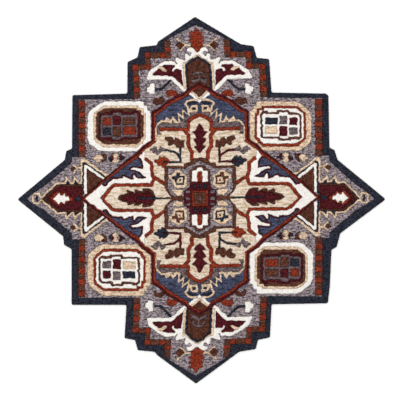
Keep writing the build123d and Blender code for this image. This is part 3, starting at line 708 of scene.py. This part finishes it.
def painted_floor(colour):
    """Smooth floor with an even matt paint, slightly uneven in gloss where the roller passed."""
    material, tree = new_material("floor_matt_paint_rolled")
    where = add(tree, "ShaderNodeTexCoord")
    grain = add(tree, "ShaderNodeTexNoise", {0: where.outputs["Object"]},
                in_Scale=1 / (80 * MM), in_Detail=2.0)
    rough = add(tree, "ShaderNodeMapRange", {0: grain.outputs[0]}, in_3=0.88, in_4=0.94)
    shader = add(tree, "ShaderNodeBsdfPrincipled", {"Roughness": rough.outputs[0]},
                 in_Base_Color=tuple(colour) + (1.0,), in_Specular_IOR_Level=0.2)
    add(tree, "ShaderNodeOutputMaterial", {0: shader.outputs[0]})
    return material


# ---------------------------------------------------------------- operators

TAPE_WIDTH = 36 * MM
FLOOR_REACH = 8.0           # from the middle to each side
FLOOR_DROP = 0.3 * MM       # gap under the rug, so that its underside isn't in the floor's plane
SOFTBOX_SIDE = 3.5
SOFTBOX_PLACE = (-1.2, 1.8, 5.5)
CAMERA_OFFSET = -5 * MM     # along y from the frame's origin, which centres the rug
SENSOR_WIDTH = 36           # of a full-frame camera, in millimetres
FURTHEST_SEEN = 100


class RUG_OT_border(bpy.types.Operator):
    """Tufts the plain dark border"""
    bl_idname = "rug.border"
    bl_label = "Border"

    def execute(self, context):
        return tuft(context, BORDER)


class RUG_OT_field(bpy.types.Operator):
    """Tufts the heather field, its loose motifs and the chequered strips"""
    bl_idname = "rug.field"
    bl_label = "Field"

    def execute(self, context):
        return tuft(context, FIELD)


class RUG_OT_upright_arms(bpy.types.Operator):
    """Tufts the motifs of the upper and lower arm"""
    bl_idname = "rug.upright_arms"
    bl_label = "Upright arms"

    def execute(self, context):
        return tuft(context, UPRIGHT_ARMS)


class RUG_OT_side_arms(bpy.types.Operator):
    """Tufts the motifs of the left and right arm"""
    bl_idname = "rug.side_arms"
    bl_label = "Side arms"

    def execute(self, context):
        return tuft(context, SIDE_ARMS)


class RUG_OT_corner_panels(bpy.types.Operator):
    """Tufts the four corner panels and their cells"""
    bl_idname = "rug.corner_panels"
    bl_label = "Corner panels"

    def execute(self, context):
        return tuft(context, PANELS)


class RUG_OT_star(bpy.types.Operator):
    """Tufts the star's frame, ground, zigzags and flames"""
    bl_idname = "rug.star"
    bl_label = "Star"

    def execute(self, context):
        return tuft(context, STAR)


class RUG_OT_medallion(bpy.types.Operator):
    """Tufts the cream medallion with its leaves and sprigs"""
    bl_idname = "rug.medallion"
    bl_label = "Medallion"

    def execute(self, context):
        return tuft(context, MEDALLION)


class RUG_OT_centre(bpy.types.Operator):
    """Tufts the centre block, its frame and flowers"""
    bl_idname = "rug.centre"
    bl_label = "Centre"

    def execute(self, context):
        return tuft(context, CENTRE)


class RUG_OT_canvas(bpy.types.Operator):
    """Lays the woven canvas that holds the tufts"""
    bl_idname = "rug.canvas"
    bl_label = "Canvas"

    def execute(self, context):
        # Threads 2 mm apart, drawn 3 mm apart so that they show
        material = woven("cotton_canvas_plain_woven", "#DCD6C8", "#B9B19D", 3 * MM, False)
        piece = cloth(context, "primary_canvas", "canvas", material)
        plan_area(piece)
        return {"FINISHED"}


class RUG_OT_latex(bpy.types.Operator):
    """Spreads the latex coat under the canvas"""
    bl_idname = "rug.latex"
    bl_label = "Latex coat"

    def execute(self, context):
        cloth(context, "latex_layer", "latex_coat", dried_latex())
        return {"FINISHED"}


class RUG_OT_backing(bpy.types.Operator):
    """Lays the backing cloth on the underside"""
    bl_idname = "rug.backing"
    bl_label = "Backing cloth"

    def execute(self, context):
        # Open scrim with threads 3 mm apart
        material = woven("backing_scrim_plain_woven", "#C7B899", "#9C8B69", 3 * MM, False)
        piece = cloth(context, "backing_scrim", "backing_cloth", material)
        plan_area(piece)
        return {"FINISHED"}


class RUG_OT_tape(bpy.types.Operator):
    """Lays the binding tape round the underside"""
    bl_idname = "rug.tape"
    bl_label = "Binding tape"

    def execute(self, context):
        # Twill lines 1.5 mm apart, drawn 2.5 mm apart so that they show
        material = woven("binding_tape_twill_woven", "#D8CDB4", "#B3A688", 2.5 * MM, True)
        piece = cloth(context, "edge_tape", "binding_tape", material)
        plan_area(piece) / TAPE_WIDTH
        return {"FINISHED"}


def plan_area(piece):
    """Area of a flat layer seen from above, as half of what its upper and lower faces add up to."""
    mesh = piece.data
    normals = np.empty(len(mesh.polygons) * 3, np.float32)
    areas = np.empty(len(mesh.polygons), np.float32)
    mesh.polygons.foreach_get("normal", normals)
    mesh.polygons.foreach_get("area", areas)
    return float((np.abs(normals.reshape(-1, 3)[:, 2]) * areas).sum() / 2)


class RUG_OT_stage(bpy.types.Operator):
    """Sets out the floor, the lights and the camera"""
    bl_idname = "rug.stage"
    bl_label = "Floor, lights and camera"

    def execute(self, context):
        stage = context.scene.rug_stage
        mesh = bpy.data.meshes.new("floor")
        corners = [(x * FLOOR_REACH, y * FLOOR_REACH, -FLOOR_DROP)
                   for x, y in ((-1, -1), (1, -1), (1, 1), (-1, 1))]
        mesh.from_pydata(corners, [], [(0, 1, 2, 3)])
        floor = bpy.data.objects.new("floor", mesh)
        floor.data.materials.append(painted_floor(stage.floor))
        context.scene.collection.objects.link(floor)
        world = bpy.data.worlds.new("studio")
        world.use_nodes = True
        context.scene.world = world
        background = world.node_tree.nodes["Background"]
        background.inputs[0].default_value = (1, 1, 1, 1)
        background.inputs[1].default_value = stage.daylight
        lamp = bpy.data.lights.new("softbox", "AREA")
        lamp.shape = "RECTANGLE"
        lamp.size = SOFTBOX_SIDE
        lamp.size_y = SOFTBOX_SIDE
        lamp.energy = stage.softbox
        box = bpy.data.objects.new("softbox", lamp)
        box.location = SOFTBOX_PLACE
        box.rotation_euler = box.location.to_track_quat("Z", "Y").to_euler()
        context.scene.collection.objects.link(box)
        lens = bpy.data.cameras.new("camera")
        lens.sensor_width = SENSOR_WIDTH
        lens.lens = lens.sensor_width * (stage.height - PILE_TOP) / stage.view
        lens.clip_end = FURTHEST_SEEN
        camera = bpy.data.objects.new("camera", lens)
        camera.location = (0, CAMERA_OFFSET, stage.height)
        context.scene.collection.objects.link(camera)
        bpy.context.scene.camera = camera
        context.scene.view_settings.view_transform = "Standard"
        return {"FINISHED"}


class RUG_PT_panel(bpy.types.Panel):
    """Lists the rug's operators and settings"""
    bl_label = "Rug"
    bl_idname = "RUG_PT_panel"
    bl_space_type = "VIEW_3D"
    bl_region_type = "UI"
    bl_category = "Rug"

    def draw(self, context):
        for operator in OPERATORS:
            self.layout.operator(operator.bl_idname)
        for group in (context.scene.rug_sizes, context.scene.rug_yarns, context.scene.rug_stage):
            for key in group.__annotations__:
                self.layout.prop(group, key)


OPERATORS = (RUG_OT_stage, RUG_OT_border, RUG_OT_field, RUG_OT_upright_arms, RUG_OT_side_arms,
             RUG_OT_corner_panels, RUG_OT_star, RUG_OT_medallion, RUG_OT_centre, RUG_OT_latex,
             RUG_OT_canvas, RUG_OT_backing, RUG_OT_tape)
SETTINGS = {"rug_sizes": RugSizes, "rug_yarns": RugYarns, "rug_stage": RugStage}


def register():
    """Adds the settings, operators and panel."""
    for part in (*SETTINGS.values(), *OPERATORS, RUG_PT_panel):
        bpy.utils.register_class(part)
    for name, group in SETTINGS.items():
        setattr(bpy.types.Scene, name, PointerProperty(type=group))


def unregister():
    """Takes them away again."""
    for name in SETTINGS:
        delattr(bpy.types.Scene, name)
    for part in (RUG_PT_panel, *reversed(OPERATORS), *SETTINGS.values()):
        bpy.utils.unregister_class(part)


def main():
    """Makes the rug piece by piece."""
    register()
    for operator in OPERATORS:
        group, name = operator.bl_idname.split(".")
        getattr(getattr(bpy.ops, group), name)()


if __name__ == "__main__":
    main()
